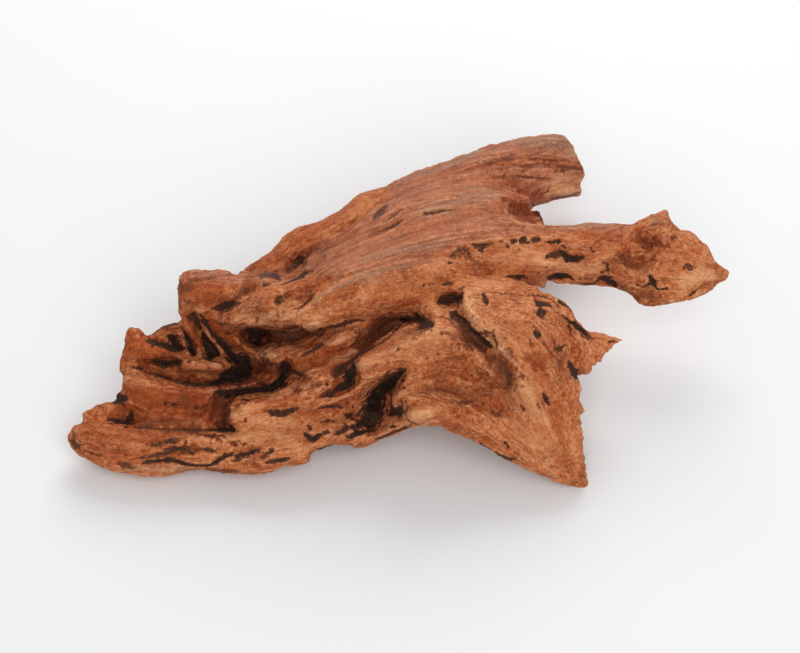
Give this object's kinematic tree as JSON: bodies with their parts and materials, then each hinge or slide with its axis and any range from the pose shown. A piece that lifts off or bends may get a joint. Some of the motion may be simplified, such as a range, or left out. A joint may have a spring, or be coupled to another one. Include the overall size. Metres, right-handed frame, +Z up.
{
  "type": "driftwood",
  "caption": "Water-worn hardwood root crown with a sawn limb, a long knuckled arm, a flared foot and finger-like roots, standing free on its root tips.",
  "frame": {"origin": "on the table, under the middle of the piece's box", "axes": "+X to the right along the piece, from the left roots to the long arm; +Y away from the pictured front; +Z up"},
  "size_m": [0.3176, 0.1971, 0.0859],
  "materials": {
    "trunk": "worn hardwood, satin, with rough orange and dark hollowed areas",
    "sawn_limb": "grey-weathered hardwood with a pale sawn and torn end",
    "long_arm": "worn hardwood, smooth above and pitted at the knuckle",
    "flared_root": "worn hardwood, smooth, with a rough edge",
    "horn_root": "worn hardwood with dark slots between thin fins",
    "split_root": "worn hardwood with dark hollows",
    "shelf_root": "worn hardwood, pale on top and dark below",
    "tongue_root": "worn hardwood with long dark streaks"
  },
  "bodies": {
    "root": {"trunk": "trunk", "sawn_limb": "sawn_limb", "long_arm": "long_arm", "flared_root": "flared_root", "horn_root": "horn_root", "split_root": "split_root", "shelf_root": "shelf_root", "tongue_root": "tongue_root"}
  },
  "joints": []
}
